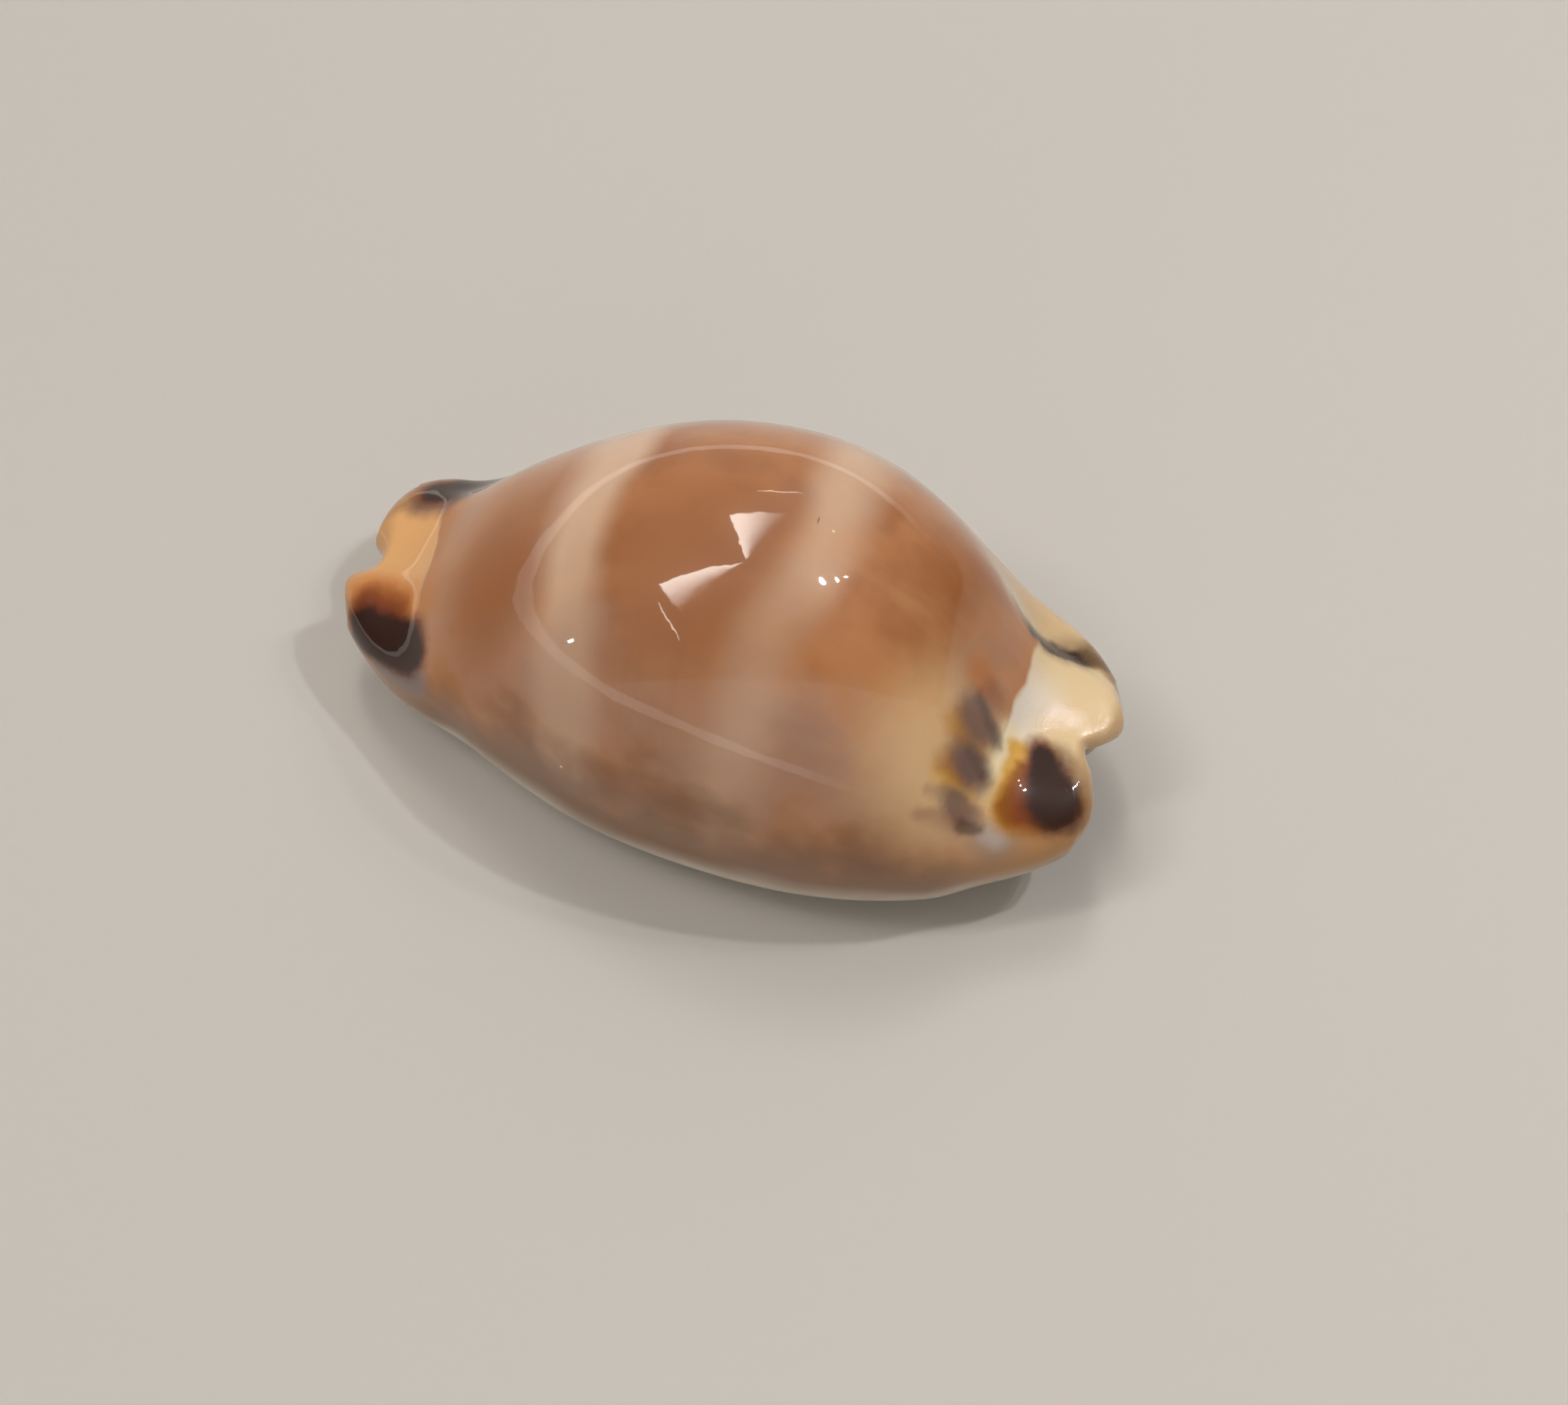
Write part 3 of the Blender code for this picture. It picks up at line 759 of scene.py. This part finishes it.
class Enamel(Nodes):
    """The shell's enamel, laid in layers of colour over one another, and its relief in mm."""

    def __init__(self):
        self.material = bpy.data.materials.new("cowrie_enamel")
        self.material.use_nodes = True
        super().__init__(self.material.node_tree)
        self.place, self.angle, self.inward = map(self.attribute, ("place", "angle", "inward"))
        position = self.node("ShaderNodeTexCoord", {}).outputs["Object"]
        self.where = self.scaled(position, 1 / MM)
        self.warped = self.warp(self.where)
        self.colour = FAWN
        self.relief = self.times(self.noise(self.where, *SWELL_NOISE), SWELL_HEIGHT)

    def warp(self, where):
        """The position in mm, with small random shifts that make the edges of marks uneven."""
        for scale, reach in WARPS:
            shift = self.vector("SUBTRACT", self.noise(where, scale, output="Color"), NOISE_MIDDLE)
            where = self.vector("ADD", where, self.scaled(shift, reach))
        return where

    def random_shift(self, most, scale, detail):
        """A smooth random shift of up to most either way."""
        return self.step(self.noise(self.where, scale, detail), *NOISE_RANGE, -most, most)

    def shifted_angle(self, *shift):
        return self.math("ADD", self.angle, self.random_shift(*shift))

    def layout(self, angle, per_mm, per_degree, apart):
        """A position that counts in cells along the axis and round the shell."""
        return self.combine(self.times(self.place, per_mm), self.times(angle, per_degree), apart)

    def lay(self, share, colour):
        self.colour = self.mix(share, self.colour, colour)

    def ground(self):
        """Fawn clouds and patches, with streaks along the shell and growth lines across it."""
        patches = self.vector("ADD", self.where, PATCH_OFFSET)
        streaks = self.layout(self.angle, *STREAK_CELLS)
        growth = self.layout(self.angle, *GROWTH_CELLS)
        for layout, (noise, step, colour) in zip((self.where, patches, streaks, growth), GROUND):
            self.lay(self.step(self.noise(layout, *noise), *step), colour)
        self.lay(self.step(self.place, *ANTERIOR_ORANGE), ORANGE_FAWN)

    def bands(self):
        """Two pale bands from side to side, each with deeper patches behind its posterior edge."""
        broken = self.noise(self.vector("ADD", self.where, DEEPER_OFFSET), *DEEPER_NOISE)
        over = self.times(*self.steps(self.angle, BAND_SPAN))
        shift = self.random_shift(*BAND_SHIFT)
        for place, first, last, moved, half, before, behind, strength in BANDS:
            middle = self.step(self.angle, first, last, place, moved)
            off = self.math("ADD", self.math("SUBTRACT", self.place, middle), shift)
            front = self.step(off, -half - before, -half + before)
            back = self.step(off, half + behind, half - behind)
            rise = self.step(off, half, half + DEEPER_FULL)
            fall = self.step(off, half + DEEPER_END, half + DEEPER_FADE)
            deeper = self.times(self.times(rise, fall), over, self.step(broken, *DEEPER_STEP))
            self.lay(deeper, BAND_EDGE)
            self.lay(self.times(front, back, over, strength), BAND)

    def sides(self):
        """A greyish veil low on the near side, partly painted reflection, margins partly painted shade,
        and the callus at the posterior far tip.
        """
        angle = self.shifted_angle(*SIDE_SHIFT)
        # Painted reflection in part: a greyish veil laid into the colour low on the near side.
        self.lay(self.times(*self.steps(angle, GREY_TONE_AND_REFLECTION_SPAN), GREY_TONE_AND_REFLECTION_STRENGTH), GREY_TONE_AND_REFLECTION)
        # Painted shade in part: the margins darken both sides low down.
        for margin_and_shade_step in MARGIN_AND_SHADE_STEPS:
            self.lay(self.step(angle, *margin_and_shade_step), MARGIN_AND_SHADE)
        self.lay(self.times(self.step(self.place, *CALLUS_PLACE), self.step(angle, *CALLUS_SIDE)), CALLUS)

    def anterior_end(self, place):
        """Where the anterior end is, past a line that is crisp over the back and soft at the sides."""
        line = self.step(self.angle, *ANTERIOR_LINE)
        past = self.step(self.math("SUBTRACT", place, line), *ANTERIOR_EDGE)
        crisp = self.times(*self.steps(self.angle, CRISP_SPAN))
        soft = self.step(self.place, *SOFT_START)
        return self.math("MULTIPLY_ADD", self.math("SUBTRACT", past, soft), crisp, soft)

    def posterior_end(self, place):
        """Where the posterior end is, past a line that comes forward at the spire."""
        aside = self.math("ABSOLUTE", self.math("SUBTRACT", self.angle, SPIRE_ANGLE))
        line = self.step(aside, *POSTERIOR_LINE)
        return self.step(self.math("SUBTRACT", place, line), *POSTERIOR_EDGE)

    def collars(self):
        """The tips of both ends and the sunken collars between them, the posterior one with a grain."""
        place = self.math("ADD", self.place, self.random_shift(*COLLAR_SHIFT))
        anterior, posterior = self.anterior_end(place), self.posterior_end(place)
        self.lay(anterior, TIP_TAN)
        self.lay(self.times(self.step(self.place, *TIP_PLACE), self.step(self.angle, *TIP_SIDE)), TIP_TAN)
        top = self.times(anterior, *self.steps(self.angle, ANTERIOR_TOP))
        self.lay(top, ANTERIOR_COLLAR)
        self.lay(self.times(top, self.step(self.angle, *COLLAR_SHADE_SIDE)), COLLAR_SHADE)
        top = self.times(posterior, *self.steps(self.angle, POSTERIOR_TOP))
        self.lay(top, POSTERIOR_COLLAR)
        # Painted glare in part: a whitish strip along the posterior line.
        pale = self.step(self.place, *PALE_COLLAR_GLARE_PLACE), self.step(self.angle, *PALE_COLLAR_GLARE_SIDE)
        self.lay(self.times(top, *pale), PALE_COLLAR_GLARE)
        both = self.math("ADD", anterior, posterior)
        sunken = self.times(both, *self.steps(self.angle, SUNKEN_SPAN), SUNKEN_DEPTH)
        self.relief = self.math("SUBTRACT", self.relief, sunken)
        grain = self.noise(self.where, *GRAIN_NOISE)
        grain = self.times(grain, posterior, self.step(self.angle, *GRAIN_SIDE), GRAIN_HEIGHT)
        self.relief = self.math("ADD", self.relief, grain)

    def mark(self, away, colour, soft, strength):
        """A mark that reaches as far as where away is 1."""
        self.lay(self.step(away, 1 + soft, 1 - soft, 0.0, strength), colour)

    def spots(self):
        for middle, sizes, turn, colour, soft, strength in SPOTS:
            turned = (0, 0, math.radians(turn))
            inputs = {"Vector": self.warped, "Location": middle, "Rotation": turned, "Scale": sizes}
            inside = self.node("ShaderNodeMapping", inputs, vector_type="TEXTURE").outputs[0]
            self.mark(self.vector("LENGTH", inside), colour, soft, strength)

    def strokes(self):
        for start, end, first, last, colour, soft, strength in STROKES:
            start, end = Vector(start), Vector(end)
            way = end - start
            offset = self.vector("SUBTRACT", self.warped, start)
            share = self.times(self.vector("DOT_PRODUCT", offset, way), 1 / way.length_squared)
            share = self.math("MINIMUM", self.math("MAXIMUM", share, 0.0), 1.0)
            offset = self.vector("SUBTRACT", offset, self.scaled(way, share))
            radius = self.math("MULTIPLY_ADD", share, last - first, first)
            self.mark(self.math("DIVIDE", self.vector("LENGTH", offset), radius), colour, soft, strength)

    def flecks(self, layout, scale, size, kept, colour, strength):
        """Scattered small flecks, in a random share of the cells of a Voronoi pattern."""
        cells = self.node("ShaderNodeTexVoronoi", {"Vector": layout, "Scale": scale})
        there = self.math("LESS_THAN", cells.outputs["Color"], kept)
        fleck = self.step(cells.outputs["Distance"], size, FLECK_CORE * size)
        self.lay(self.times(fleck, there, strength), colour)

    def scatter(self):
        """Pale specks and short dark hairlines."""
        self.flecks(self.where, *SPECKS)
        angle = self.shifted_angle(*HAIRLINE_SHIFT)
        self.flecks(self.layout(angle, *HAIRLINE_CELLS), *HAIRLINES)

    def underside(self):
        """Cream base that turns tan at the ends, tan rims and a whitish inside."""
        angle = self.shifted_angle(*BASE_SHIFT)
        whole = self.step(self.math("ABSOLUTE", self.place), *BASE_ENDS)
        for side in BASE_SIDES:
            self.lay(self.times(self.step(angle, *side), whole), BASE)
        self.lay(self.step(self.inward, *RIM_STEP), RIM)
        self.lay(self.step(self.inward, *INSIDE_STEP), INSIDE)

    def finish(self):
        surface = self.tree.nodes["Principled BSDF"]
        bump_inputs = {"Strength": 1.0, "Distance": MM, "Height": self.relief}
        normal = self.node("ShaderNodeBump", bump_inputs).outputs["Normal"]
        linked = {"Base Color": self.colour, "Normal": normal, "Coat Normal": normal}
        for name, value in {**linked, **ENAMEL_VALUES}.items():
            self.put(surface.inputs[name], value)
        return self.material


def shell_material():
    enamel = Enamel()
    enamel.ground()
    enamel.bands()
    enamel.sides()
    enamel.collars()
    enamel.spots()
    enamel.strokes()
    enamel.scatter()
    enamel.underside()
    return enamel.finish()


def make_floor():
    half = FLOOR_SIZE / 2
    corners = [(-half, -half, 0), (half, -half, 0), (half, half, 0), (-half, half, 0)]
    mesh = bpy.data.meshes.new("floor")
    mesh.from_pydata(corners, [], [(0, 1, 2, 3)])
    material = bpy.data.materials.new("floor")
    material.use_nodes = True
    surface = material.node_tree.nodes["Principled BSDF"]
    surface.inputs["Base Color"].default_value = FLOOR_COLOUR
    surface.inputs["Roughness"].default_value = FLOOR_ROUGHNESS
    mesh.materials.append(material)
    floor = bpy.data.objects.new("floor", mesh)
    bpy.context.scene.collection.objects.link(floor)


def direction(azimuth, elevation):
    """Unit vector towards a point of the sky. Azimuth 0 is -Y and 90 is +X."""
    a, e = math.radians(azimuth), math.radians(elevation)
    return Vector((math.sin(a) * math.cos(e), -math.cos(a) * math.cos(e), math.sin(e)))


def placed(place, right, back):
    """The matrix of a lamp or camera at place, with local x to the right and local z to the back."""
    return Matrix.Translation(place) @ Matrix((right, back.cross(right), back)).transposed().to_4x4()


def make_lamp(name, first, second, distance, width, power, colour):
    """A small lamp that is seen from the shell between two points of the sky."""
    first, second = direction(*first) * distance, direction(*second) * distance
    middle = (first + second) / 2
    light = bpy.data.lights.new(name, "AREA")
    light.shape = "ELLIPSE"
    light.size, light.size_y = (second - first).length, width
    light.energy = power
    light.color = colour
    lamp = bpy.data.objects.new(name, light)
    lamp.matrix_world = placed(middle, (second - first).normalized(), middle.normalized())
    lamp.visible_camera = False
    bpy.context.scene.collection.objects.link(lamp)


def pane(sky, way, apex, end, side, spread):
    """The share of a pane's light in a direction, from the directions of the ends of its bright edge."""
    edge = end - apex
    across = sky.vector("DOT_PRODUCT", way, side * apex.cross(end).normalized())
    # Both ends are unit vectors, so the narrow one lies half the edge's length before the zero.
    along = sky.math("ADD", sky.vector("DOT_PRODUCT", way, edge.normalized()), edge.length / 2)
    return sky.times(
        sky.step(across, -PANE_EDGE, PANE_EDGE),
        sky.step(sky.math("DIVIDE", across, along), spread, 0.0),
        sky.step(along, 0.0, PANE_START),
        sky.step(along, edge.length + PANE_END, edge.length - PANE_END),
    )


def make_sky():
    """A dim room: soft glows, a pale strip along the horizon, and two panes of a window."""
    world = bpy.data.worlds.new("studio")
    bpy.context.scene.world = world
    world.use_nodes = True
    sky = Nodes(world.node_tree)
    way = sky.node("ShaderNodeTexCoord", {}).outputs["Generated"]
    total = 0.0
    for middle, full, end, least, most in GLOWS:
        towards = sky.vector("DOT_PRODUCT", way, middle)
        total = sky.math("ADD", total, sky.step(towards, end, full, least, most))
    height = sky.vector("DOT_PRODUCT", way, (0, 0, 1))
    strip = sky.step(height, HORIZON_TOP, HORIZON_TOP - HORIZON_EDGE, 0.0, HORIZON_GLOW)
    elsewhere = sky.step(sky.vector("DOT_PRODUCT", way, (1, 0, 0)), *HORIZON_END)
    total = sky.math("MULTIPLY_ADD", strip, elsewhere, total)
    for apex, end, side, spread, strength in PANES:
        light = pane(sky, way, direction(*apex), direction(*end), side, spread)
        total = sky.math("MULTIPLY_ADD", light, strength, total)
    background = world.node_tree.nodes["Background"]
    sky.put(background.inputs["Strength"], total)
    sky.put(background.inputs["Color"], SKY_COLOUR)


def make_camera(height):
    """The photograph's camera, for a shell of this height."""
    camera = bpy.data.cameras.new("camera")
    camera.lens = LENS
    camera.sensor_width = SENSOR
    camera.clip_start = NEAREST_SEEN
    back = direction(VIEW_AZIMUTH, VIEW_ELEVATION)
    right = direction(VIEW_AZIMUTH + 90, 0)
    aim = Vector((0, 0, height / 2)) + (right * VIEW_SHIFT[0] + back.cross(right) * VIEW_SHIFT[1]) * MM
    holder = bpy.data.objects.new("camera", camera)
    holder.matrix_world = placed(aim + back * VIEW_DISTANCE, right, back)
    bpy.context.scene.collection.objects.link(holder)
    bpy.context.scene.camera = holder


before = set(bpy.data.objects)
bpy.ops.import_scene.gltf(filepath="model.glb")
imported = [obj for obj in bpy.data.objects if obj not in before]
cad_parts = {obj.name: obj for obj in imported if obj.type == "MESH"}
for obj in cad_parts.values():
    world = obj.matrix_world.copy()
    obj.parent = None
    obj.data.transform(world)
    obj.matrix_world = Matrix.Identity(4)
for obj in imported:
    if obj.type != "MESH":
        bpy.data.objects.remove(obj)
cad_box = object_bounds()
shell = make_shell()
shell.data.materials.append(shell_material())
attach(shell, "root")
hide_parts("shell")
make_floor()
make_sky()
for lamp in LAMPS:
    make_lamp(*lamp)
make_camera(cad_box[1].z)
bpy.context.scene.view_settings.view_transform = "Standard"
